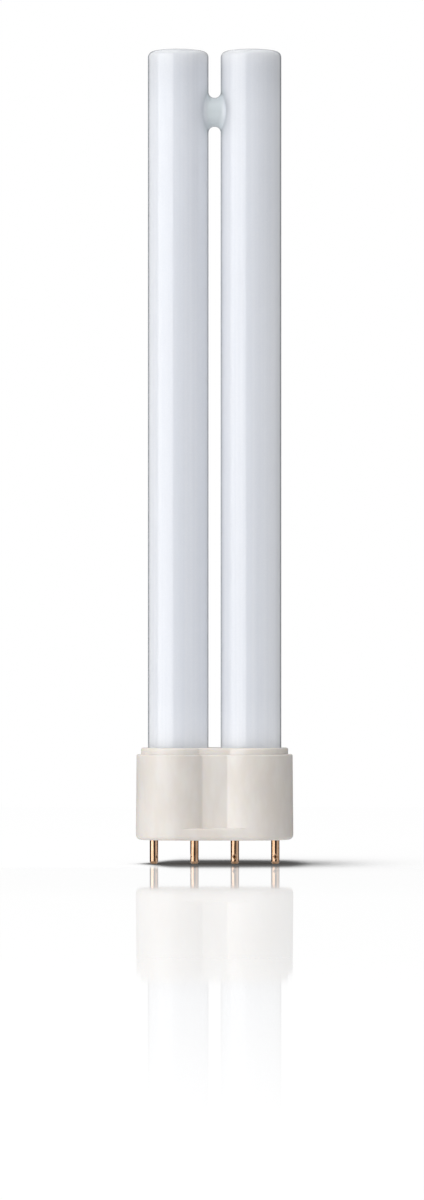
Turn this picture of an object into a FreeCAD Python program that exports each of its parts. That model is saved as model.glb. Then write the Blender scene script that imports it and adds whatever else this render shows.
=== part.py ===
"""A twin-tube ultraviolet lamp with four contact pins in one row, as it stands when its pins point down.

Two closed glass tubes stand side by side and are joined by a short glass neck near their tops. They are
cemented into a moulded holder, whose collar shows above the moulded cap that it closes. The pins are pressed
into bosses on the cap's floor, and each is punched onto the lead wire inside it.

Sizes are in millimetres. The origin is the middle of the pin row on the cap's seating face, X runs along the
row, Y from front to back, and Z up the tubes.
"""

import FreeCAD, Part
import math
import os
import Sketcher

SIZES = {
    # glass tubes
    "tube_radius": 8.25,
    "tube_gap": 3.3,
    "tube_foot": 12.0,
    "tube_top": 214.8,
    "tube_crown": 0.7,
    "tube_corner": 1.6,
    # the neck that joins them, measured down from their tops
    "neck_radius": 3.95,
    "neck_drop": 17.0,
    "neck_land": 0.1,
    # the inward flare, wire seal and pumping stub at each tube's foot
    "flare_rim": 2.65,
    "flare_throat": 2.7,
    "flare_depth": 6.5,
    "stub_radius": 1.3,
    "stub_drop": 3.6,
    # outer moulding of the cap
    "cap_height": 23.2,
    "cap_wall": 1.9,
    "cap_floor": 2.6,
    "cap_draft": 0.5,
    "cap_foot_round": 1.3,
    "cap_rim_bevel": 0.4,
    "waist_depth": 2.0,
    "ledge_height": 3.3,
    "divider_width": 1.2,
    "divider_clearance": 1.7,
    # inner moulding that holds the tubes
    "collar_seat": 0.5,
    "collar_waist_seat": 0.8,
    "collar_height": 1.8,
    "collar_bevel": 0.3,
    "skirt_clearance": 0.1,
    "socket_wall": 0.8,
    "socket_floor": 1.2,
    "socket_lip": 1.3,
    # cement ring round each tube
    "cement_width": 0.45,
    "cement_recess": 0.35,
    # contact pins
    "pin_spacing": 11.0,
    "pin_radius": 1.15,
    "pin_length": 6.6,
    "pin_tip_length": 1.0,
    "pin_tip_taper": 0.45,
    "pin_wall": 0.55,
    "pin_seat_step": 0.25,
    "pin_head_step": 0.75,
    "pin_head_height": 0.6,
    "boss_wall": 1.1,
    "boss_height": 1.8,
    # the punch marks that grip the wire
    "crimp_height": 1.95,
    "crimp_half_height": 0.85,
    "crimp_half_width": 0.7,
    "crimp_web": 0.3,
    "crimp_floor_radius": 0.09,
    "crimp_grip": 1.4,
    # lead wires
    "wire_radius": 0.35,
    "wire_offset": 2.05,
    "wire_bend": 0.9,
    "wire_seal_run": 1.5,
    "wire_mouth_gap": 0.5,
}

# What follows from those sizes, as expressions for the sheet.
TUBE_AXIS = "(Sizes.tube_radius + Sizes.tube_gap / 2)"
NECK_HEIGHT = "(Sizes.tube_top - Sizes.neck_drop)"
SEAL_HEIGHT = "(Sizes.tube_foot + Sizes.flare_depth)"
SOCKET_RADIUS = "(Sizes.tube_radius + Sizes.cement_width)"
SOCKET_BOTTOM = "(Sizes.tube_foot - Sizes.socket_floor)"
SKIRT_RADIUS = f"({SOCKET_RADIUS} + Sizes.socket_wall)"
CAVITY_RADIUS = f"({SKIRT_RADIUS} + Sizes.skirt_clearance)"
CAP_END_RADIUS = f"({CAVITY_RADIUS} + Sizes.cap_wall)"
CAP_WAIST = f"({CAP_END_RADIUS} - Sizes.waist_depth)"
CAVITY_WAIST = f"({CAP_WAIST} - Sizes.cap_wall)"
SKIRT_WAIST = f"({CAVITY_WAIST} - Sizes.skirt_clearance)"
COLLAR_RADIUS = f"({CAVITY_RADIUS} + Sizes.collar_seat)"
COLLAR_WAIST = f"({CAVITY_WAIST} + Sizes.collar_waist_seat)"
COLLAR_TOP = "(Sizes.cap_height + Sizes.collar_height)"
PIN_SEAT_RADIUS = "(Sizes.pin_radius + Sizes.pin_seat_step)"
PIN_BORE_RADIUS = "(Sizes.pin_radius - Sizes.pin_wall)"
BOSS_TOP = "(Sizes.cap_floor + Sizes.boss_height)"
PIN_HEAD_TOP = f"({BOSS_TOP} + Sizes.pin_head_height)"
CRIMP_MIDDLE = "(Sizes.crimp_height - Sizes.pin_length)"
GRIP_TOP = f"({CRIMP_MIDDLE} + Sizes.crimp_grip / 2)"
GRIP_FOOT = f"({CRIMP_MIDDLE} - Sizes.crimp_grip / 2)"
PIN_PLACES = [f"{steps} * Sizes.pin_spacing" for steps in (-1.5, -0.5, 0.5, 1.5)]

# How far each pin is turned about its own axis, in degrees, from a punch mark that faces the front.
CRIMP_TURNS = (68, 104, -34, -28)

doc = FreeCAD.newDocument("twin_tube_lamp")
sheet = doc.addObject("Spreadsheet::Sheet", "Sizes")
for row, (alias, number) in enumerate(SIZES.items(), start=1):
    sheet.set(f"A{row}", alias)
    sheet.set(f"B{row}", str(number))
    sheet.setAlias(f"B{row}", alias)
doc.recompute()


def value(expression):
    """The number that a sheet expression stands for at present."""
    return float(sheet.evalExpression(expression))


def new_body(label):
    body = doc.addObject("PartDesign::Body", label)
    body.Label = label
    return body


def own_datum(body, role):
    """One of the planes or axes of the body's own origin."""
    return next(feature for feature in body.Origin.OriginFeatures if feature.Role == role)


def new_sketch(body, role, name, height="0", across="0"):
    """A sketch on one of the body's own planes, raised off it and moved across it by sheet expressions."""
    sketch = body.newObject("Sketcher::SketchObject", name)
    sketch.AttachmentSupport = (own_datum(body, role), [""])
    sketch.MapMode = "FlatFace"
    sketch.setExpression("AttachmentOffset.Base.x", across)
    sketch.setExpression("AttachmentOffset.Base.z", height)
    return sketch


def constrain(sketch, kind, *where, size=None):
    """Add one constraint, driven by a sheet expression where it has a size."""
    if size is None:
        return sketch.addConstraint(Sketcher.Constraint(kind, *where))
    index = sketch.addConstraint(Sketcher.Constraint(kind, *where, value(size)))
    sketch.setExpression(f"Constraints[{index}]", size)
    return index


def hold_point(sketch, geometry, point, across, up):
    """Fix a point of the sketch at two sheet expressions from the sketch's origin."""
    constrain(sketch, "DistanceX", -1, 1, geometry, point, size=across)
    constrain(sketch, "DistanceY", -1, 1, geometry, point, size=up)


def draw_circle(sketch, across, up, radius):
    centre = FreeCAD.Vector(value(across), value(up), 0)
    index = sketch.addGeometry(Part.Circle(centre, FreeCAD.Vector(0, 0, 1), value(radius)), False)
    hold_point(sketch, index, 3, across, up)
    constrain(sketch, "Radius", index, size=radius)


def draw_profile(sketch, corners, arcs=None):
    """A closed outline of straight sides, each corner held at a pair of sheet expressions.

    Each side numbered in arcs, by the corner it leaves, is an arc of the radius given there instead, which
    bulges away from the middle of the outline.
    """
    points = [FreeCAD.Vector(value(across), value(up), 0) for across, up in corners]
    arcs = arcs or {}
    first = sketch.GeometryCount
    ends = {}
    for index, (start, end) in enumerate(zip(points, points[1:] + points[:1])):
        if index in arcs:
            half_chord = (end - start) / 2
            radius = value(arcs[index])
            rise = radius - math.sqrt(radius ** 2 - half_chord.Length ** 2)
            outward = FreeCAD.Vector(-half_chord.y, half_chord.x, 0).normalize()
            middle = start + half_chord + outward * rise
            side = sketch.addGeometry(Part.Arc(start, middle, end), False)
            constrain(sketch, "Radius", side, size=arcs[index])
            ends[side] = (2, 1)
        else:
            side = sketch.addGeometry(Part.LineSegment(start, end), False)
            ends[side] = (1, 2)
    for index, (across, up) in enumerate(corners):
        side = first + index
        following = first + (index + 1) % len(corners)
        constrain(sketch, "Coincident", side, ends[side][1], following, ends[following][0])
        hold_point(sketch, side, ends[side][0], across, up)


def draw_round_ended(sketch, radius, waist=None):
    """Two round ends about the tube axes, joined by straight sides.

    The sides are tangent to the ends, or at the distance waist from the middle where one is given.
    """
    offset = value(TUBE_AXIS)
    end_radius = value(radius)
    half_waist = end_radius if waist is None else value(waist)
    turn = math.asin(half_waist / end_radius)
    up = FreeCAD.Vector(0, 0, 1)
    right_circle = Part.Circle(FreeCAD.Vector(offset, 0, 0), up, end_radius)
    left_circle = Part.Circle(FreeCAD.Vector(-offset, 0, 0), up, end_radius)
    corner = offset - end_radius * math.cos(turn)
    back_ends = [FreeCAD.Vector(x, half_waist, 0) for x in (corner, -corner)]
    front_ends = [FreeCAD.Vector(x, -half_waist, 0) for x in (-corner, corner)]
    right = sketch.addGeometry(Part.ArcOfCircle(right_circle, turn - math.pi, math.pi - turn), False)
    left = sketch.addGeometry(Part.ArcOfCircle(left_circle, turn, 2 * math.pi - turn), False)
    back = sketch.addGeometry(Part.LineSegment(*back_ends), False)
    front = sketch.addGeometry(Part.LineSegment(*front_ends), False)
    meeting = "Tangent" if waist is None else "Coincident"
    constrain(sketch, meeting, right, 2, back, 1)
    constrain(sketch, meeting, back, 2, left, 1)
    constrain(sketch, meeting, left, 2, front, 1)
    constrain(sketch, meeting, front, 2, right, 1)
    hold_point(sketch, right, 3, TUBE_AXIS, "0")
    hold_point(sketch, left, 3, f"-{TUBE_AXIS}", "0")
    constrain(sketch, "Radius", right, size=radius)
    constrain(sketch, "Radius", left, size=radius)
    if waist is not None:
        constrain(sketch, "Horizontal", back)
        constrain(sketch, "Horizontal", front)
        constrain(sketch, "DistanceY", -1, 1, back, 1, size=waist)
        constrain(sketch, "DistanceY", -1, 1, front, 1, size=f"-{waist}")


def pad(body, sketch, name, length):
    """Raise a sketch along its normal."""
    feature = body.newObject("PartDesign::Pad", name)
    feature.Profile = sketch
    feature.setExpression("Length", length)
    doc.recompute()
    return feature


def pocket(body, sketch, name, depth, taper="0"):
    """Cut a sketch into the body against its normal, and make sure that it takes material away."""
    volume_before = body.Shape.Volume
    feature = body.newObject("PartDesign::Pocket", name)
    feature.Profile = sketch
    feature.setExpression("Length", depth)
    feature.setExpression("TaperAngle", taper)
    doc.recompute()
    if body.Shape.Volume >= volume_before:
        raise ValueError(f"{name} cuts nothing from {body.Label}")
    return feature


def revolve(body, sketch, name):
    """Turn a profile all the way round the sketch's own vertical axis."""
    feature = body.newObject("PartDesign::Revolution", name)
    feature.Profile = sketch
    feature.ReferenceAxis = (sketch, ["V_Axis"])
    feature.Angle = 360
    doc.recompute()
    return feature


def dress_edges(body, kind, base, name, size, chosen):
    """A fillet or chamfer on each edge of the base feature that the test picks out."""
    names = [f"Edge{i}" for i, edge in enumerate(base.Shape.Edges, start=1) if chosen(edge)]
    feature = body.newObject(f"PartDesign::{kind}", name)
    feature.Base = (base, names)
    feature.setExpression("Radius" if kind == "Fillet" else "Size", size)
    doc.recompute()
    return feature


def lies_at(edge, height):
    """Is the whole edge at one height?"""
    box = edge.BoundBox
    return max(abs(box.ZMin - height), abs(box.ZMax - height)) < 1e-4


def make_discharge_tube():
    """Both glass tubes and the neck between them, blown and fused as one closed bulb."""
    body = new_body("discharge_tube")
    neck_section = new_sketch(body, "YZ_Plane", "neck_section", f"-{TUBE_AXIS}")
    draw_circle(neck_section, "0", NECK_HEIGHT, "Sizes.neck_radius")
    pad(body, neck_section, "neck", f"2 * {TUBE_AXIS}")

    # The crown is part of a large ball, and the round at its edge touches both it and the tube's wall.
    crown_radius = "((Sizes.tube_radius ^ 2 + Sizes.tube_crown ^ 2) / (2 * Sizes.tube_crown))"
    crown_centre = f"(Sizes.tube_top - {crown_radius})"
    corner_off = "(Sizes.tube_radius - Sizes.tube_corner)"
    corner_reach = f"({crown_radius} - Sizes.tube_corner)"
    corner_rise = f"sqrt({corner_reach} ^ 2 - {corner_off} ^ 2)"
    crown_share = f"({crown_radius} / {corner_reach})"
    stub_end = "Sizes.tube_foot - Sizes.stub_drop"
    tube_section = new_sketch(body, "XZ_Plane", "tube_section", across=TUBE_AXIS)
    corners = [
        ("0", "Sizes.tube_top"),
        (f"{corner_off} * {crown_share}", f"{crown_centre} + {corner_rise} * {crown_share}"),
        ("Sizes.tube_radius", f"{crown_centre} + {corner_rise}"),
        ("Sizes.tube_radius", "Sizes.tube_foot"),
        ("Sizes.tube_radius - Sizes.flare_rim", "Sizes.tube_foot"),
        ("Sizes.flare_throat", SEAL_HEIGHT),
        ("Sizes.stub_radius", SEAL_HEIGHT),
        ("Sizes.stub_radius", stub_end),
        ("0", stub_end),
    ]
    draw_profile(tube_section, corners, arcs={0: crown_radius, 1: "Sizes.tube_corner"})
    right_tube = revolve(body, tube_section, "right_tube")

    both_tubes = body.newObject("PartDesign::Mirrored", "left_tube")
    both_tubes.Originals = [right_tube]
    both_tubes.MirrorPlane = (own_datum(body, "YZ_Plane"), [""])
    body.Tip = both_tubes
    doc.recompute()

    neck_low = value(f"{NECK_HEIGHT} - Sizes.neck_radius")
    neck_high = value(f"{NECK_HEIGHT} + Sizes.neck_radius")

    def meets_neck(edge):
        box = edge.BoundBox
        beside_neck = neck_low - 0.01 < box.ZMin and box.ZMax < neck_high + 0.01
        return beside_neck and min(box.YLength, box.ZLength) > 0.01

    flare_round = "Sizes.tube_gap / 2 - Sizes.neck_land"
    dress_edges(body, "Fillet", both_tubes, "neck_flares", flare_round, meets_neck)
    return body


def make_cap_shell():
    """The outer moulding: a drafted cup with a waist front and back, above a round-ended foot."""
    body = new_body("cap_shell")
    # Each outline is smaller than the one under it: by the draft at first, and by the bevel at the rim.
    bevel_foot = "(Sizes.cap_height - Sizes.cap_rim_bevel)"
    drawn_in = f"({bevel_foot} - Sizes.ledge_height) * tan(Sizes.cap_draft)"
    outlines = []
    for name, height, shrink in (
        ("wall_foot", "Sizes.ledge_height", "0"),
        ("wall_top", bevel_foot, drawn_in),
        ("rim", "Sizes.cap_height", f"({drawn_in} + Sizes.cap_rim_bevel)"),
    ):
        outlines.append(new_sketch(body, "XY_Plane", name, height))
        draw_round_ended(outlines[-1], f"({CAP_END_RADIUS} - {shrink})", f"({CAP_WAIST} - {shrink})")
    walls = body.newObject("PartDesign::AdditiveLoft", "drafted_walls")
    walls.Profile = outlines[0]
    walls.Sections = outlines[1:]
    walls.Ruled = True
    doc.recompute()

    def at_seating_face(edge):
        return lies_at(edge, 0)

    foot_outline = new_sketch(body, "XY_Plane", "foot_outline")
    draw_round_ended(foot_outline, CAP_END_RADIUS)
    foot = pad(body, foot_outline, "foot", "Sizes.ledge_height")
    dress_edges(body, "Fillet", foot, "foot_round", "Sizes.cap_foot_round", at_seating_face)

    cavity_outline = new_sketch(body, "XY_Plane", "cavity_outline", "Sizes.cap_height")
    draw_round_ended(cavity_outline, CAVITY_RADIUS, CAVITY_WAIST)
    pocket(body, cavity_outline, "cavity", "Sizes.cap_height - Sizes.cap_floor")

    boss_outlines = new_sketch(body, "XY_Plane", "boss_outlines", "Sizes.cap_floor")
    for place in PIN_PLACES:
        draw_circle(boss_outlines, place, "0", f"{PIN_SEAT_RADIUS} + Sizes.boss_wall")
    pad(body, boss_outlines, "bosses", "Sizes.boss_height")

    divider_outline = new_sketch(body, "XY_Plane", "divider_outline", "Sizes.cap_floor")
    half_width = "Sizes.divider_width / 2"
    half_depth = f"({CAVITY_WAIST} + Sizes.cap_wall / 2)"
    corners = [
        (f"-{half_width}", f"-{half_depth}"),
        (half_width, f"-{half_depth}"),
        (half_width, half_depth),
        (f"-{half_width}", half_depth),
    ]
    draw_profile(divider_outline, corners)
    pad(body, divider_outline, "divider", f"{SOCKET_BOTTOM} - Sizes.divider_clearance - Sizes.cap_floor")

    hole_outlines = new_sketch(body, "XY_Plane", "hole_outlines", BOSS_TOP)
    for place in PIN_PLACES:
        draw_circle(hole_outlines, place, "0", PIN_SEAT_RADIUS)
    pocket(body, hole_outlines, "pin_holes", BOSS_TOP)
    return body


def make_tube_holder():
    """The inner moulding: a skirt inside the shell, a collar on its rim and two sockets for the glass."""
    body = new_body("tube_holder")
    skirt_outline = new_sketch(body, "XY_Plane", "skirt_outline", SOCKET_BOTTOM)
    draw_round_ended(skirt_outline, SKIRT_RADIUS, SKIRT_WAIST)
    pad(body, skirt_outline, "skirt", f"Sizes.cap_height - {SOCKET_BOTTOM}")
    collar_outline = new_sketch(body, "XY_Plane", "collar_outline", "Sizes.cap_height")
    draw_round_ended(collar_outline, COLLAR_RADIUS, COLLAR_WAIST)
    collar = pad(body, collar_outline, "collar", "Sizes.collar_height")
    collar_top = value(COLLAR_TOP)

    def at_collar_top(edge):
        return lies_at(edge, collar_top)

    dress_edges(body, "Chamfer", collar, "collar_bevel", "Sizes.collar_bevel", at_collar_top)
    for name, radius, floor in (
        ("sockets", SOCKET_RADIUS, "Sizes.tube_foot"),
        ("lips", "Sizes.tube_radius - Sizes.socket_lip", SOCKET_BOTTOM),
    ):
        outlines = new_sketch(body, "XY_Plane", f"{name}_outline", COLLAR_TOP)
        draw_circle(outlines, f"-{TUBE_AXIS}", "0", radius)
        draw_circle(outlines, TUBE_AXIS, "0", radius)
        pocket(body, outlines, name, f"{COLLAR_TOP} - {floor}")
    return body


def make_cement(label, place):
    """The ring of cement between one tube and its socket."""
    cylinders = []
    for name, radius in (("outside", SOCKET_RADIUS), ("inside", "Sizes.tube_radius")):
        cylinder = doc.addObject("Part::Cylinder", f"{label}_{name}")
        cylinder.setExpression("Radius", radius)
        cylinder.setExpression("Height", f"{COLLAR_TOP} - Sizes.cement_recess - Sizes.tube_foot")
        cylinder.setExpression("Placement.Base.x", place)
        cylinder.setExpression("Placement.Base.z", "Sizes.tube_foot")
        cylinders.append(cylinder)
    ring = doc.addObject("Part::Cut", label)
    ring.Label = label
    ring.Base, ring.Tool = cylinders
    doc.recompute()
    return ring


def make_contact_pin(label, place, turn):
    """One hollow pin: tapered tip, two punch marks, a wider seat through the floor, and a head on the boss."""
    body = new_body(label)
    tip = "-Sizes.pin_length"
    tip_radius = "Sizes.pin_radius - Sizes.pin_tip_taper"
    head_radius = "Sizes.pin_radius + Sizes.pin_head_step"
    pin_section = new_sketch(body, "XZ_Plane", "pin_section")
    corners = [
        ("0", tip),
        (tip_radius, tip),
        ("Sizes.pin_radius", f"{tip} + Sizes.pin_tip_length"),
        ("Sizes.pin_radius", "0"),
        (PIN_SEAT_RADIUS, "0"),
        (PIN_SEAT_RADIUS, BOSS_TOP),
        (head_radius, BOSS_TOP),
        (head_radius, PIN_HEAD_TOP),
        (PIN_BORE_RADIUS, PIN_HEAD_TOP),
        (PIN_BORE_RADIUS, GRIP_TOP),
        ("Sizes.wire_radius", GRIP_TOP),
        ("Sizes.wire_radius", GRIP_FOOT),
        ("0", GRIP_FOOT),
    ]
    draw_profile(pin_section, corners)
    revolve(body, pin_section, "pin")

    punch_outline = new_sketch(body, "XZ_Plane", "punch_outline", "Sizes.pin_radius")
    corners = [
        ("0", f"{CRIMP_MIDDLE} - Sizes.crimp_half_height"),
        ("Sizes.crimp_half_width", CRIMP_MIDDLE),
        ("0", f"{CRIMP_MIDDLE} + Sizes.crimp_half_height"),
        ("-Sizes.crimp_half_width", CRIMP_MIDDLE),
    ]
    draw_profile(punch_outline, corners)
    punch_depth = "(Sizes.pin_radius - Sizes.wire_radius - Sizes.crimp_web)"
    punch_edge = "sqrt(Sizes.crimp_half_width ^ 2 + Sizes.crimp_half_height ^ 2)"
    punch_radius = f"Sizes.crimp_half_width * Sizes.crimp_half_height / {punch_edge}"
    punch_taper = f"atan(({punch_radius} - Sizes.crimp_floor_radius) / {punch_depth})"
    mark = pocket(body, punch_outline, "punch_mark", punch_depth, f"-{punch_taper}")
    marks = body.newObject("PartDesign::PolarPattern", "punch_marks")
    marks.Originals = [mark]
    marks.Axis = (own_datum(body, "Z_Axis"), [""])
    marks.Angle = 360
    marks.Occurrences = 2
    body.Tip = marks
    body.Placement.Rotation = FreeCAD.Rotation(FreeCAD.Vector(0, 0, 1), turn)
    body.setExpression("Placement.Base.x", place)
    doc.recompute()
    return body


def make_lead_wire(label, start, end):
    """One wire: down from the glass seal, slanting across to its pin in two bends, and down to the grip."""
    body = new_body(label)
    x_top = value(start)
    x_foot = value(end)
    radius = value("Sizes.wire_bend")
    bend_top = f"{SEAL_HEIGHT} - Sizes.wire_seal_run"
    bend_foot = f"{PIN_HEAD_TOP} + Sizes.wire_mouth_gap"
    z_top = value(bend_top)
    z_foot = value(bend_foot)
    toward = math.copysign(1, x_foot - x_top)
    between_centres = (abs(x_foot - x_top) - 2 * radius, z_top - z_foot)
    slant_length = math.sqrt(math.hypot(*between_centres) ** 2 - (2 * radius) ** 2)
    turn = math.atan2(*between_centres) + math.atan2(2 * radius, slant_length)

    def upper_bend(angle):
        return FreeCAD.Vector(
            x_top + toward * radius * (1 - math.cos(angle)),
            z_top - radius * math.sin(angle),
            0,
        )

    def lower_bend(angle):
        return FreeCAD.Vector(
            x_foot - toward * radius * (1 - math.cos(angle)),
            z_foot + radius * math.sin(angle),
            0,
        )

    wire_route = new_sketch(body, "XZ_Plane", "wire_route")
    sides = [
        Part.LineSegment(FreeCAD.Vector(x_top, value(SEAL_HEIGHT), 0), upper_bend(0)),
        Part.Arc(upper_bend(0), upper_bend(turn / 2), upper_bend(turn)),
        Part.LineSegment(upper_bend(turn), lower_bend(turn)),
        Part.Arc(lower_bend(turn), lower_bend(turn / 2), lower_bend(0)),
        Part.LineSegment(lower_bend(0), FreeCAD.Vector(x_foot, value(GRIP_FOOT), 0)),
    ]
    wire_route.addGeometry(sides, False)
    # An arc's ends are numbered anticlockwise, so they swap with the side that the wire slants to.
    upper_ends = (1, 2) if toward > 0 else (2, 1)
    lower_ends = (2, 1) if toward > 0 else (1, 2)
    constrain(wire_route, "Tangent", 0, 2, 1, upper_ends[0])
    constrain(wire_route, "Tangent", 1, upper_ends[1], 2, 1)
    constrain(wire_route, "Tangent", 2, 2, 3, lower_ends[0])
    constrain(wire_route, "Tangent", 3, lower_ends[1], 4, 1)
    constrain(wire_route, "Vertical", 0)
    constrain(wire_route, "Vertical", 4)
    constrain(wire_route, "Radius", 1, size="Sizes.wire_bend")
    constrain(wire_route, "Radius", 3, size="Sizes.wire_bend")
    constrain(wire_route, "DistanceY", -1, 1, 0, 2, size=bend_top)
    constrain(wire_route, "DistanceY", -1, 1, 4, 1, size=bend_foot)
    hold_point(wire_route, 0, 1, start, SEAL_HEIGHT)
    hold_point(wire_route, 4, 2, end, GRIP_FOOT)

    wire_section = new_sketch(body, "XY_Plane", "wire_section", SEAL_HEIGHT)
    draw_circle(wire_section, start, "0", "Sizes.wire_radius")
    wire = body.newObject("PartDesign::AdditivePipe", "wire")
    wire.Profile = wire_section
    wire.Spine = (wire_route, [f"Edge{number}" for number in range(1, len(sides) + 1)])
    doc.recompute()
    return body


pieces = [
    make_discharge_tube(),
    make_cap_shell(),
    make_tube_holder(),
    make_cement("cement_left", f"-{TUBE_AXIS}"),
    make_cement("cement_right", TUBE_AXIS),
]
wire_starts = [
    f"-{TUBE_AXIS} - Sizes.wire_offset",
    f"-{TUBE_AXIS} + Sizes.wire_offset",
    f"{TUBE_AXIS} - Sizes.wire_offset",
    f"{TUBE_AXIS} + Sizes.wire_offset",
]
for number, (place, start, turn) in enumerate(zip(PIN_PLACES, wire_starts, CRIMP_TURNS), start=1):
    pieces.append(make_contact_pin(f"contact_pin_{number}", place, turn))
    pieces.append(make_lead_wire(f"lead_wire_{number}", start, place))

for item in doc.Objects:
    if "Invalid" in item.State or "Error" in item.State:
        raise ValueError(f"{item.Label} failed: {item.State}")
for piece in pieces:
    if piece.Shape.isNull() or not piece.Shape.isValid() or len(piece.Shape.Solids) != 1:
        raise ValueError(f"{piece.Label} isn't one valid solid")

os.makedirs("parts", exist_ok=True)
for piece in pieces:
    piece.Shape.exportStep(f"parts/{piece.Label}.step")
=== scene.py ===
"""A twin-tube ultraviolet lamp with four contact pins, standing on a pale floor.

Sizes are in millimetres, in the frame of the CAD model, and each mesh is scaled to metres when it is made.
"""

import math

import bmesh
import bpy
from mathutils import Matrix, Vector


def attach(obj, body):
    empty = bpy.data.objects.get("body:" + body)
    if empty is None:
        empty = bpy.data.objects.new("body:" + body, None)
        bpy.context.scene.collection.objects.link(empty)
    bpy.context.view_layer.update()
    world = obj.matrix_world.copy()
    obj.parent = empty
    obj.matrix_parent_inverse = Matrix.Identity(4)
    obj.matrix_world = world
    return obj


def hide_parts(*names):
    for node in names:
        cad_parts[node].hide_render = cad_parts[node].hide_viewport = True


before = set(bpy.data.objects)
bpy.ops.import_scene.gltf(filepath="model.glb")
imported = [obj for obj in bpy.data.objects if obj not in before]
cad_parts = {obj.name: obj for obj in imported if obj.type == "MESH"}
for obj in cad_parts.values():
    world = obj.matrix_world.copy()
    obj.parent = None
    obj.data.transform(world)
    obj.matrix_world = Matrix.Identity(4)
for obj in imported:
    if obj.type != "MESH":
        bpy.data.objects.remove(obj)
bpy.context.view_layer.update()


# The glass tubes are drawn tubing, sealed flat at the top and flared inwards at the foot, where wires and a
# pumping stub go in. An opaque white coating lines them, and they are fused to the neck and set in the cap.

MM_PER_METRE = 1000
TUBE_AXIS = 9.9
SIDES = {"left": -TUBE_AXIS, "right": TUBE_AXIS}
TUBE_RADIUS = 8.25
TUBE_TOP = 214.8
NECK_HEIGHT = 197.8


def soften(corners, steps=6):
    """An outline's points, with an arc in place of each inner corner, of the radius that comes with it."""
    points = [Vector(corners[0][:2])]
    for before, here, after in zip(corners, corners[1:], corners[2:]):
        corner = Vector(here[:2])
        radius = here[2]
        if not radius:
            points.append(corner)
            continue
        back = (Vector(before[:2]) - corner).normalized()
        onward = (Vector(after[:2]) - corner).normalized()
        half = back.angle(onward) / 2
        centre = corner + (back + onward).normalized() * radius / math.sin(half)
        first_arm = corner + back * radius / math.tan(half) - centre
        last_arm = corner + onward * radius / math.tan(half) - centre
        sweep = math.pi - 2 * half
        for step in range(steps + 1):
            turned = sweep * step / steps
            arm = first_arm * math.sin(sweep - turned) + last_arm * math.sin(turned)
            points.append(centre + arm / math.sin(sweep))
    points.append(Vector(corners[-1][:2]))
    return points


def new_piece(name, mesh, sharp):
    """An object of this mesh, shaded smooth but for edges that turn by more than this many degrees."""
    mesh.shade_smooth()
    mesh.set_sharp_from_angle(angle=math.radians(sharp))
    piece = bpy.data.objects.new(name, mesh)
    bpy.context.scene.collection.objects.link(piece)
    return piece


def skin(name, rings, sharp=35):
    """A closed mesh over rings with as many points each, filled across the first of them and the last."""
    merge_distance = 2e-7
    mesh = bpy.data.meshes.new(name)
    build = bmesh.new()
    loops = [[build.verts.new(Vector(point) / MM_PER_METRE) for point in ring] for ring in rings]
    for ring, following in zip(loops, loops[1:]):
        for i in range(len(ring)):
            build.faces.new((ring[i - 1], ring[i], following[i], following[i - 1]))
    for ring in (loops[0], loops[-1]):
        middle = build.verts.new(sum((vertex.co for vertex in ring), Vector()) / len(ring))
        for i in range(len(ring)):
            build.faces.new((ring[i - 1], ring[i], middle))
    bmesh.ops.remove_doubles(build, verts=build.verts, dist=merge_distance)
    bmesh.ops.recalc_face_normals(build, faces=build.faces)
    build.to_mesh(mesh)
    build.free()
    return new_piece(name, mesh, sharp)


def turn_round(profile, x, count):
    """The rings that a profile of radii and heights makes about an upright axis at x."""
    turns = [math.tau * i / count for i in range(count)]
    return [[(x + r * math.cos(a), r * math.sin(a), z) for a in turns] for r, z in profile if r > 0]


def tube_profile():
    """Radii and heights from the middle of the domed top, down the outside, to the end of the stub."""
    crown = 0.7
    shoulder_round = 1.6
    foot = 12.0
    flare_mouth = 5.6
    seal = 18.5
    seal_radius = 2.7
    stub_radius = 1.3
    stub_end = 8.4
    crown_radius = (TUBE_RADIUS**2 + crown**2) / (2 * crown)
    crown_centre = TUBE_TOP - crown_radius
    dome = [(r, crown_centre + math.sqrt(crown_radius**2 - r**2), 0) for r in (0.4, 1.5, 3, 4.5, 6)]
    wall = [(TUBE_RADIUS, TUBE_TOP - crown, shoulder_round), (TUBE_RADIUS, foot, 0.3)]
    flare = [(flare_mouth, foot, 0.3), (seal_radius, seal, 0.2)]
    stub = [(stub_radius, seal, 0.2), (stub_radius, stub_end, 0.3), (0.3, stub_end, 0)]
    return soften(dome + wall + flare + stub, steps=9)


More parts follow.
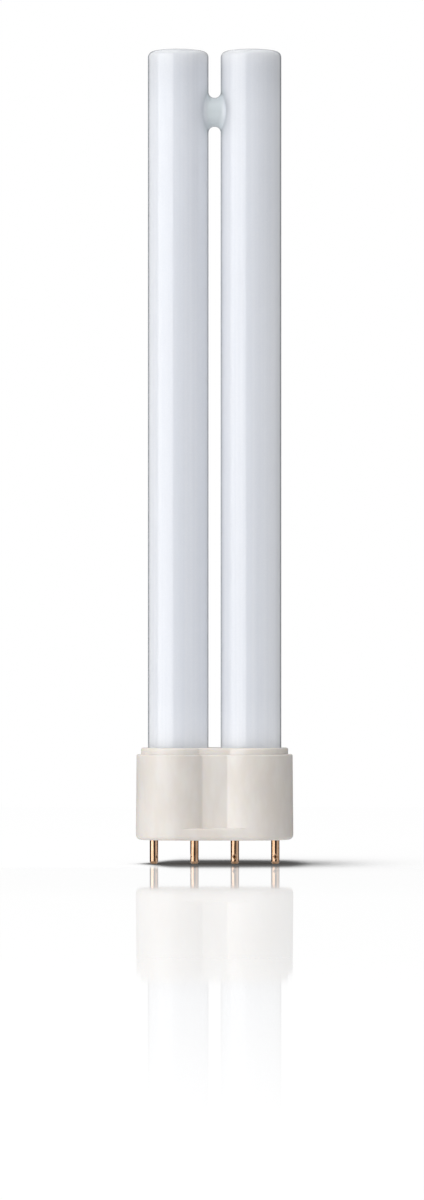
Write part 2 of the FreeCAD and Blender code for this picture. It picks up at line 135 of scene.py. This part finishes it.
def neck_rings():
    """Rings along X: inside the left tube, out along its flare, across, and into the right tube."""
    radius = 3.95
    flare = 1.55
    inside = 0.85
    steps = 14
    count = 96
    turns = [math.tau * i / count for i in range(count)]

    def tube_wall(off_axis, a):
        """How far the tube's wall is from the middle plane, this far off the neck's axis at turn a."""
        return TUBE_AXIS - math.sqrt(TUBE_RADIUS**2 - (off_axis * math.cos(a)) ** 2)

    def lean(off_axis, a):
        """How far the wall leans there from square across the neck."""
        return math.atan(off_axis * math.cos(a) ** 2 / (TUBE_AXIS - tube_wall(off_axis, a)))

    def flare_point(a, along):
        """A point of the fillet: how far it is from the middle plane, and how far off the neck's axis."""
        turn = math.pi / 2 - lean(radius, a)
        reach = flare * math.tan(turn / 2)
        hold = 4 / 3 * math.tan(turn / 4) * flare
        end_off = radius + reach * math.cos(lean(radius, a))
        end_lean = lean(end_off, a)
        start = Vector((tube_wall(radius, a) - reach, radius))
        end = Vector((tube_wall(end_off, a), end_off))
        first = start + Vector((hold, 0))
        last = end - hold * Vector((math.sin(end_lean), math.cos(end_lean)))
        rest = 1 - along
        return start * rest**3 + first * 3 * rest**2 * along + last * 3 * rest * along**2 + end * along**3

    def place(side, across, off_axis, a):
        return side * across, off_axis * math.cos(a), NECK_HEIGHT + off_axis * math.sin(a)

    halves = []
    for side in (-1, 1):
        half = [[place(side, *flare_point(a, step / steps), a) for a in turns] for step in range(steps + 1)]
        half.append([place(side, TUBE_AXIS - TUBE_RADIUS * inside, radius * inside, a) for a in turns])
        halves.append(half)
    return halves[0][::-1] + halves[1]


class Wire:
    """What comes out of one socket of a finish. Python's operators on it add Math nodes."""

    def __init__(self, tree, socket=None):
        self.tree = tree
        self.socket = socket

    def add(self, kind, values=None, settings=None, output=0):
        """Add any other node, with a value or a wire for each socket that is named, and its settings."""
        node = self.tree.nodes.new(f"ShaderNode{kind}")
        for name, setting in (settings or {}).items():
            setattr(node, name, setting)
        for place, value in (values or {}).items():
            if isinstance(value, Wire):
                self.tree.links.new(value.socket, node.inputs[place])
            else:
                node.inputs[place].default_value = value
        return Wire(self.tree, node.outputs[output]) if node.outputs else None

    def maths(self, operation, *values):
        """A Math node, with numbers or wires for its sockets."""
        return self.add("Math", dict(enumerate(values)), {"operation": operation})

    def __add__(self, other):
        return self.maths("ADD", self, other)

    def __sub__(self, other):
        return self.maths("SUBTRACT", self, other)

    def __rsub__(self, other):
        return self.maths("SUBTRACT", other, self)

    def __mul__(self, other):
        return self.maths("MULTIPLY", self, other)

    def __pow__(self, other):
        return self.maths("POWER", self, other)

    def __abs__(self):
        return self.maths("ABSOLUTE", self)

    __radd__ = __add__
    __rmul__ = __mul__

    def ramp(self, low, high):
        """0 up to low and 1 from high on, smooth in between, and falling where high is under low."""
        values = {"Value": self, "From Min": low, "From Max": high}
        return self.add("MapRange", values, {"interpolation_type": "SMOOTHSTEP"})

    def blend(self, first, second):
        """The first colour where this is 0 and the second where it is 1."""
        return self.add("Mix", {0: self, 6: first, 7: second}, {"data_type": "RGBA"}, output=2)

    def stretched(self, factors):
        """A vector, scaled along each axis."""
        return self.add("VectorMath", {0: self, 1: factors}, {"operation": "MULTIPLY"})

    def noise(self, scale, detail):
        """Uneven grey, in patches of about a millimetre over the scale."""
        return self.add("TexNoise", {"Vector": self, "Scale": scale, "Detail": detail})

    def bump(self, height):
        """A normal that leans as on a surface that is raised by so many millimetres times the height."""
        return self.add("Bump", {"Height": self, "Distance": height / MM_PER_METRE, "Strength": 1.0})


def new_finish(name):
    """An empty material, and a wire with the place on the object in millimetres."""
    material = bpy.data.materials.new(name)
    material.use_nodes = True
    tree = material.node_tree
    tree.nodes.clear()
    place = Wire(tree).add("TexCoord", output="Object").stretched((MM_PER_METRE,) * 3)
    return material, place


def lay_on(place, looks):
    """The surface itself, from what each of its sockets is set to or linked from."""
    surface = place.add("BsdfPrincipled", looks)
    place.add("OutputMaterial", {"Surface": surface})


def split(place):
    """A wire for each of the three coordinates."""
    return [place.add("SeparateXYZ", {0: place}, output=axis) for axis in range(3)]


def coated_glass(name, milkiness):
    """White-coated glass, which lets light spread inside it as far as it is milky."""
    material, place = new_finish(name)
    x, _, z = split(place)
    draw_lines = place.stretched((1.0, 1.0, 0.004)).noise(1.3, 4.0)
    powder = place.noise(2.2, 5.0)
    grain = (draw_lines * 0.6 + powder * 0.4).ramp(0.35, 0.65)
    coating = grain.blend((0.655, 0.68, 0.735, 1), (0.685, 0.705, 0.755, 1))
    thin_neck = abs(x).ramp(3.6, 1.2) * abs(z - NECK_HEIGHT).ramp(7.5, 4.0)
    body = (thin_neck * 0.8).blend(coating, (0.60, 0.67, 0.69, 1))
    # Painted shade: the coating is darkened towards the domed top, so the top of each tube has a dark
    # outline.
    painted_dark_top = z.ramp(TUBE_TOP - 1.2, TUBE_TOP - 0.3)
    body = (painted_dark_top * 0.8).blend(body, (0.40, 0.43, 0.47, 1))
    # Painted shade: seen edge-on, the clear wall outside the coating looks darker, so a dark outline is
    # painted into the colour, weaker between the tubes.
    edge_on = place.add("LayerWeight", {"Blend": 0.5}, output="Facing")
    painted_edge_outline = edge_on.ramp(0.62, 0.85) * (abs(x).ramp(6, 14) * 0.7 + 0.3)
    body = (painted_edge_outline * 0.9).blend(body, (0.14, 0.16, 0.19, 1))
    # Painted light: a faint glow is put in the coating, though the lamp is not lit. It is strongest just
    # above the cap, and fades out towards the top.
    painted_glow = (z.ramp(40, 25) * 0.3 + z.ramp(TUBE_TOP - 1, 196) * 0.5) * (1 - painted_edge_outline)
    lay_on(place, {
        "Base Color": body,
        "Emission Color": painted_glow.blend((0, 0, 0, 1), (0.94, 0.95, 0.97, 1)),
        "Emission Strength": 0.19,
        "Roughness": 0.55,
        "Specular IOR Level": 0.0,
        "Subsurface Weight": milkiness,
        "Subsurface Radius": (1.0, 1.0, 1.0),
        "Subsurface Scale": 0.02,
        "Coat Weight": 1.0,
        "Coat Roughness": 0.025,
        "Coat IOR": 1.5,
    })
    return material


def settle(piece, material, slot, *nodes):
    """Give a finished piece its finish, hang it on the root, and hide the CAD parts that it stands in for.
    """
    piece.data.materials.clear()
    piece.data.materials.append(material)
    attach(piece, "root")
    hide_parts(*nodes)


glass_finish = coated_glass("coated_glass", 1.0)
for side, x in SIDES.items():
    tube = skin(f"glass_tube_{side}", turn_round(tube_profile(), x, count=128))
    settle(tube, glass_finish, "coated_glass", "discharge_tube")
neck = skin("glass_neck", neck_rings(), sharp=50)
settle(neck, coated_glass("neck_glass", 0.0), "coated_glass", "discharge_tube")


# The cap is moulded in one shot of satin cream plastic: a foot with round ends, a ledge on it that the
# lampholder's clips press on, and drafted walls that draw in to a waist front and back. The pins are
# pressed into its floor.

PIN_PITCH = 11.0
PIN_PLACES = [PIN_PITCH * offset for offset in (-1.5, -0.5, 0.5, 1.5)]
CAP_RIM = 23.2


def outline(height, end, waist, reach=99.0, shy=0.0):
    """A level outline with round ends and a waist, which comes in from a straight side by reach at most.

    Where shy is set, the outline stays that much short of its full depth.
    """
    end_steps = 48
    corner = 0.25
    waist_half = 2.8
    flank = 4.9
    right_side = [(TUBE_AXIS, flank, 12), (flank, waist_half, 22)]
    left_side = [(-waist_half, -flank, 22), (-flank, -TUBE_AXIS, 12)]
    runs = [*right_side, (waist_half, -waist_half, 8), *left_side]
    side = [start + (stop - start) * i / count for start, stop, count in runs for i in range(count)]
    half = []
    for i in range(end_steps):
        a = math.pi * i / end_steps - math.pi / 2
        half.append((TUBE_AXIS + end * math.cos(a), end * math.sin(a)))
    # A small fillet follows the corner where the round ends meet the waist.
    for x in side:
        lobe = math.sqrt(max(end**2 - (TUBE_AXIS - abs(x)) ** 2, 0))
        near = max(corner - abs(lobe - waist), 0) / corner
        depth = end - max(lobe, waist) - near**2 * corner / 4
        half.append((x, end - min(depth - min(depth, shy), reach)))
    other_half = [(-x, -y) for x, y in half]
    return [(x, y, height) for x, y in half + other_half]


def quarter(radius, steps=5):
    """Pairs of run and rise along a quarter round, from its foot to its end."""
    turns = [math.pi / 2 * i / steps for i in range(steps + 1)]
    return [(radius * math.sin(a), radius * (1 - math.cos(a))) for a in turns]


def cap_rings():
    """Rings from the round foot up over the ledge and the walls, and down inside to the floor."""
    end = 11.5
    waist = 9.5
    ledge = 3.3
    foot_round = 1.3
    ledge_edge = 0.3
    ledge_corner = 0.25
    rim_round = 0.4
    inner_end = 9.6
    inner_waist = 7.6
    floor_top = 2.6
    draft = math.tan(math.radians(0.5))
    rings = []
    for run, rise in quarter(foot_round, steps=8):
        rings.append(outline(rise, end - foot_round + run, waist, reach=0))
    for run, rise in quarter(ledge_edge):
        rings.append(outline(ledge - ledge_edge + run, end, waist, reach=rise))
    rings.append(outline(ledge, end, waist, shy=ledge_corner))
    for run, rise in quarter(ledge_corner)[1:]:
        rings.append(outline(ledge + rise, end, waist, shy=ledge_corner - run))
    for height in (8, 13, 18):
        lean = (height - ledge) * draft
        rings.append(outline(height, end - lean, waist - lean))
    lean = (CAP_RIM - rim_round - ledge) * draft
    for run, rise in quarter(rim_round):
        rings.append(outline(CAP_RIM - rim_round + run, end - lean - rise, waist - lean - rise))
    for height in (CAP_RIM, floor_top):
        rings.append(outline(height, inner_end, inner_waist))
    return rings


def pin_hole():
    """Radii and heights of what is cut out for one pin, wider at its mouth."""
    radius = 1.4
    mouth = 1.55
    return [(mouth, -1), (mouth, -0.01), (radius, 0.12), (radius, 4)]


def cut(piece, cutter):
    """Take the cutter's shape out of the piece."""
    change = piece.modifiers.new("cut", "BOOLEAN")
    change.object = cutter
    change.solver = "EXACT"
    seen = piece.evaluated_get(bpy.context.evaluated_depsgraph_get())
    mesh = bpy.data.meshes.new_from_object(seen)
    piece.modifiers.clear()
    piece.data = mesh
    bpy.data.objects.remove(cutter)


def moulded_plastic(name, tint, shade):
    """Satin plastic that is mottled, very faintly, between a tint and a shade."""
    material, place = new_finish(name)
    flow = place.stretched((1.0, 1.0, 0.35)).noise(0.22, 3.0)
    grain = place.noise(14.0, 3.0)
    colour = (flow * 0.8 + grain * 0.2).ramp(0.38, 0.62).blend(shade, tint)
    lay_on(place, {
        "Base Color": colour,
        "Roughness": 0.36 + grain * 0.12,
        "Specular IOR Level": 0.5,
        "Subsurface Weight": 0.2,
        "Subsurface Radius": (1.0, 0.6, 0.3),
        "Subsurface Scale": 0.002,
        "Normal": (grain + flow * 1.5).bump(0.006),
    })
    return material


cap = skin("cap_moulding", cap_rings())
for x in PIN_PLACES:
    cut(cap, skin("drill", turn_round(pin_hole(), x, count=48)))
cap_finish = moulded_plastic("cap_plastic", (0.815, 0.775, 0.735, 1), (0.77, 0.72, 0.67, 1))
settle(cap, cap_finish, "cap_plastic", "cap_shell")


# The tube holder is a second moulding of the same plastic, pushed into the cap. Its collar rests on the
# cap's rim and shows round the tubes. Each tube has a socket, with a hole in its floor for the wires.

COLLAR_TOP = 25.0
SOCKET_RADIUS = 8.7


def holder_rings():
    """Rings from the foot of the skirt up to the bevelled edge of the collar."""
    skirt_end = 9.5
    skirt_waist = 7.5
    collar_end = 10.1
    collar_waist = 8.4
    bevel = 0.3
    rings = [outline(height, skirt_end, skirt_waist) for height in (10.8, 17, CAP_RIM)]
    rings.append(outline(CAP_RIM, collar_end, collar_waist))
    for fall in (0.35, 0.28, 0.05, 0.0):
        inset = max(bevel - fall, 0) * 1.05
        rings.append(outline(COLLAR_TOP - fall, collar_end - inset, collar_waist - inset))
    return rings


def socket_profile():
    """Radii and heights of what is cut out for one tube: the hole, the socket and its rounded rim."""
    hole_radius = 6.95
    rim_radius = 9.4
    rim_round = 0.35
    lowest = 10
    floor = 12
    highest = 26
    socket = [(hole_radius, lowest, 0), (hole_radius, floor, 0), (SOCKET_RADIUS, floor, 0)]
    rim = [(SOCKET_RADIUS, COLLAR_TOP, rim_round), (rim_radius, COLLAR_TOP, 0), (rim_radius, highest, 0)]
    return soften(socket + rim)


holder = skin("collar_moulding", holder_rings())
for x in SIDES.values():
    cut(holder, skin("mouth", turn_round(socket_profile(), x, count=128)))
holder_finish = moulded_plastic("holder_plastic", (0.84, 0.795, 0.75, 1), (0.80, 0.75, 0.695, 1))
settle(holder, holder_finish, "holder_plastic", "tube_holder")


# A ring of pale cement holds each tube in its socket. It was put in as a paste and set hard, so it is dull,
# and lumpy on top, where it shows between the glass and the collar.


def cement_rings(x):
    """Rings across the lumpy top of the cement round the tube at x, and then at its foot."""
    count = 96
    foot = 12.05
    inner_edge = (TUBE_RADIUS + 0.01, 24.3, 0.0)
    lumpy_top = [(8.3, 24.72, 0.1), (8.45, 24.62, 0.12), (8.62, 24.6, 0.1)]
    outer_edge = (SOCKET_RADIUS - 0.01, 24.3, 0.0)
    rings = []
    for radius, height, lump in (inner_edge, *lumpy_top, outer_edge):
        ring = []
        for i in range(count):
            a = math.tau * i / count
            wave = math.sin(7 * a + x) * 0.5 + math.sin(17 * a + 2 * x) * 0.3 + math.sin(31 * a) * 0.2
            ring.append((x + radius * math.cos(a), radius * math.sin(a), height + lump * wave))
        rings.append(ring)
    foot_rings = [[(px, py, foot) for px, py, _ in ring] for ring in (rings[-1], rings[0])]
    return rings + foot_rings


def set_cement():
    """Dull, pale cement with a coarse grain."""
    material, place = new_finish("cement")
    grain = place.noise(3.0, 4.0)
    lay_on(place, {
        "Base Color": grain.ramp(0.3, 0.7).blend((0.60, 0.57, 0.50, 1), (0.76, 0.73, 0.67, 1)),
        "Roughness": 0.85,
        "Normal": grain.bump(0.12),
    })
    return material


def hoop(name, rings):
    """A closed mesh over rings that come back to the first of them."""
    mesh = bpy.data.meshes.new(name)
    count = len(rings[0])
    points = [Vector(point) / MM_PER_METRE for ring in rings for point in ring]
    faces = []
    for row in range(len(rings)):
        for i in range(count):
            here = row * count
            following = (row + 1) % len(rings) * count
            after = (i + 1) % count
            faces.append((here + i, here + after, following + after, following + i))
    mesh.from_pydata(points, [], faces)
    return new_piece(name, mesh, sharp=50)


cement_finish = set_cement()
for side, x in SIDES.items():
    settle(hoop(f"cement_ring_{side}", cement_rings(x)), cement_finish, "cement", f"cement_{side}")


# Each contact pin is drawn brass tube, with a rounded tip, a wider seat in the cap's floor, and a head on
# the boss inside. Two punch marks, on opposite sides, grip the wire in it, and shade is painted into them.

PIN_RADIUS = 1.15
# The punch marks are turned at random: how far, in degrees, from front and back.
PIN_TURNS = (62.0, -70.0, -4.0, 3.0)


def punched(point, x, turn):
    """The point, pushed in where it lies on one of the two diamonds that the punch left on the pin at x."""
    mark_height = -4.65
    half_length = 0.85
    half_width = 0.7
    deepest = 0.5
    centre = Vector((x, 0, point[2]))
    arm = Vector(point) - centre
    height = (point[2] - mark_height) / half_length
    for face in (math.radians(turn - 90), math.radians(turn + 90)):
        off = (math.atan2(arm.y, arm.x) - face + math.pi) % math.tau - math.pi
        depth = deepest * max(1 - abs(off) * PIN_RADIUS / half_width - abs(height), 0)
        arm = arm * (1 - depth / PIN_RADIUS)
    return centre + arm


def pin_rings(x, turn):
    """Rings from the tip up to the head, closest together where the punch marks are."""
    tip_end = -6.599
    tip_radius = 0.86
    cone_top = -6.0
    marks_foot = -5.6
    row = 0.06
    seat_radius = 1.39
    boss_top = 4.4
    head_radius = 1.9
    head_top = 5
    bore = 0.6
    tip = [(0.2, tip_end, 0), (tip_radius, tip_end, 0.2), (PIN_RADIUS, cone_top, 0.3)]
    shank = [(PIN_RADIUS, marks_foot + row * step, 0) for step in range(32)]
    seat = [(PIN_RADIUS, 0, 0), (seat_radius, 0, 0.05), (seat_radius, boss_top, 0.05)]
    head = [(head_radius, boss_top, 0.1), (head_radius, head_top, 0.1), (bore, head_top, 0)]
    rings = turn_round(soften(tip + shank + seat + head), x, count=120)
    return [[punched(point, x, turn) for point in ring] for ring in rings]


def pin_brass():
    """Bright drawn brass, in faint streaks along the pin, darker and browner at the tip, with painted shade
    in the marks.
    """
    material, place = new_finish("pin_brass")
    x, y, z = split(place)
    across = x.maths("MODULO", x + 2 * PIN_PITCH, PIN_PITCH) - PIN_PITCH / 2
    # Painted shade: in a punch mark, the surface is nearer to the pin's axis than elsewhere, and its colour
    # is darkened there.
    painted_mark_shade = (across**2 + y**2).ramp(1.1**2, 0.85**2) * z.ramp(-3.5, -3.7) * z.ramp(-5.7, -5.5)
    streaks = place.stretched((1.0, 1.0, 0.03)).noise(2.6, 2.0)
    spots = place.noise(1.7, 4.0)
    tip = z.ramp(-5.9, -6.6)
    grain = (streaks * 0.8 + spots * 0.2).ramp(0.38, 0.62)
    clean = grain.blend((0.42, 0.24, 0.13, 1), (0.71, 0.47, 0.32, 1))
    # The colour turns darker and browner towards the tip.
    dark_tipped = (tip * 0.6).blend(clean, (0.22, 0.11, 0.04, 1))
    lay_on(place, {
        "Base Color": (painted_mark_shade * 0.8).blend(dark_tipped, (0.12, 0.06, 0.02, 1)),
        "Metallic": 1.0,
        "Roughness": 0.08 + spots * 0.08 + tip * 0.1,
        "Normal": streaks.bump(0.05),
    })
    return material


brass_finish = pin_brass()
for number, (x, turn) in enumerate(zip(PIN_PLACES, PIN_TURNS), start=1):
    pin = skin(f"brass_pin_{number}", pin_rings(x, turn), sharp=30)
    settle(pin, brass_finish, "pin_brass", f"contact_pin_{number}")


# The lead wires are drawn, nickel-plated wire. Two leave the seal in each tube's foot, run down inside the
# cap and end in two of the pins, where the punch marks hold them.


def nickel_wire():
    """Nickel with faint streaks along it, from drawing."""
    material, place = new_finish("lead_wire")
    streaks = place.stretched((1.0, 1.0, 0.1)).noise(6.0, 3.0)
    lay_on(place, {
        "Base Color": streaks.ramp(0.3, 0.7).blend((0.52, 0.51, 0.49, 1), (0.70, 0.69, 0.67, 1)),
        "Metallic": 1.0,
        "Roughness": 0.3 + streaks * 0.15,
    })
    return material


wire_finish = nickel_wire()
for number in range(1, 5):
    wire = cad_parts[f"lead_wire_{number}"]
    wire.data.materials.clear()
    wire.data.materials.append(wire_finish)


# The floor is a long white board, faintly glossy in front of the lamp, and the pins stand on it. It glows
# where it is open, a shadow is painted into its glow under the lamp, and shiny brass doesn't mirror it.

FLOOR_HEIGHT = -6.6


def white_board():
    """Glowing white but for a painted shadow under the lamp, glossy in front, and unseen by shiny surfaces.
    """
    material, place = new_finish("white_board")
    x, y, _ = split(place)
    # Painted shadow: the glow is darkened where the lamp shelters the floor, more in front and behind,
    # drifting right and lighter on the left.
    shelter = place.add("AmbientOcclusion", {"Distance": 0.07}, {"samples": 12}, output=1)
    painted_shadow_drift = abs(y).ramp(46, 10) * x.ramp(-22, -12) * (x.ramp(60, 18) * 0.1 + x.ramp(27, 17) * 0.18)
    shade = (shelter + x.ramp(-9, -18) * 0.24 - painted_shadow_drift).ramp(0.55, 0.97)
    seen = place.add("LightPath", output="Is Camera Ray")
    scattered = place.add("LightPath", output="Is Diffuse Ray")
    mirrored = place.add("LightPath", output="Is Glossy Ray")
    matt = place.add("BsdfPrincipled", {
        "Base Color": (0.14, 0.14, 0.14, 1),
        "Roughness": 1.0,
        "Specular IOR Level": 0.0,
        "Emission Color": (seen * shade + scattered * 0.74).blend((0, 0, 0, 1), (1, 1, 1, 1)),
        "Emission Strength": 0.88,
    })
    gloss = place.add("BsdfGlossy", {"Color": (1, 1, 1, 1), "Roughness": 0.03})
    shine = (y.ramp(-950, -400) * 0.32 + y.ramp(-240, -120) * 0.2) * y.ramp(-10, -45)
    surface = place.add("MixShader", {0: shine, 1: matt, 2: gloss})
    clear = place.add("BsdfTransparent", {"Color": (1, 1, 1, 1)})
    surface = place.add("MixShader", {0: mirrored, 1: surface, 2: clear})
    place.add("OutputMaterial", {"Surface": surface})
    return material


board_thickness = 3
board_edge = [(-30, -1000), (30, -1000), (86, 620), (-86, 620)]
board_heights = (FLOOR_HEIGHT, FLOOR_HEIGHT - board_thickness)
board = skin("floor_board", [[(x, y, z) for x, y in board_edge] for z in board_heights])
board.data.materials.append(white_board())


# Soft studio light: one large softbox on the left, and a surround with a glow above and below, a pale card
# on the right and a dim fill in front and behind. Its sides are dark, so that the glass has an outline.

softbox_width = 1.2
softbox_height = 0.8
softbox_level = 0.32
softbox_azimuth = math.radians(51)
softbox_brightness = 2.48
softbox_data = bpy.data.lights.new("key_softbox", "AREA")
softbox_data.shape = "RECTANGLE"
softbox_data.size = softbox_width
softbox_data.size_y = softbox_height
softbox_data.energy = softbox_brightness * softbox_width * softbox_height * math.pi
softbox_place = Vector((-math.sin(softbox_azimuth), -math.cos(softbox_azimuth), softbox_level))
softbox_aim = Vector((0, 0, softbox_level)) - softbox_place
softbox = bpy.data.objects.new("key_softbox", softbox_data)
softbox.location = softbox_place
softbox.rotation_euler = softbox_aim.to_track_quat("-Z", "Y").to_euler()
softbox.visible_camera = False
bpy.context.scene.collection.objects.link(softbox)

# In the surround, east is to the right and north is away from the camera, which itself sees plain white.
surround = bpy.data.worlds.new("surround")
surround.use_nodes = True
surround.node_tree.nodes.clear()
direction = Wire(surround.node_tree).add("TexCoord", output="Generated")
east, north, up = split(direction)
overhead = up.ramp(0.5, 0.85) * 0.9
underneath = up.ramp(-0.08, -0.3) * 0.6
behind = north.ramp(0.972, 0.992) * up.ramp(0.17, 0.12) * 0.9
right_card = east.ramp(0.5, 0.7) * abs(up).ramp(0.14, 0.05) * north.ramp(0.45, 0.2) * 0.8
front_fill = north.ramp(0.1, -0.6) * up.ramp(0.1, 0.35) * 0.4
back_fill = north.ramp(0.1, 0.6) * up.ramp(0.15, 0.4) * 0.3
glow = 0.06 + overhead + underneath + behind + right_card + front_fill + back_fill
seen = direction.add("LightPath", output="Is Camera Ray")
glow = glow * (1 - seen) + seen
light = direction.add("Background", {"Color": (1, 1, 1, 1), "Strength": glow})
direction.add("OutputWorld", {"Surface": light})
bpy.context.scene.world = surround
bpy.context.scene.view_settings.view_transform = "Standard"


# The camera stands a metre and a half in front of the lamp, level, a little above the cap. Its picture is
# shifted up, and the camera isn't tilted, so that the tubes stay upright.

camera_data = bpy.data.cameras.new("camera")
camera_data.sensor_width = 36
camera_data.lens = 165.42
camera_data.shift_y = 0.05868
camera_data.clip_end = 50
camera = bpy.data.objects.new("camera", camera_data)
camera.location = (-0.00071, -1.5, 0.046)
camera.rotation_euler = (math.pi / 2, 0, 0)
bpy.context.scene.collection.objects.link(camera)
bpy.context.scene.camera = camera
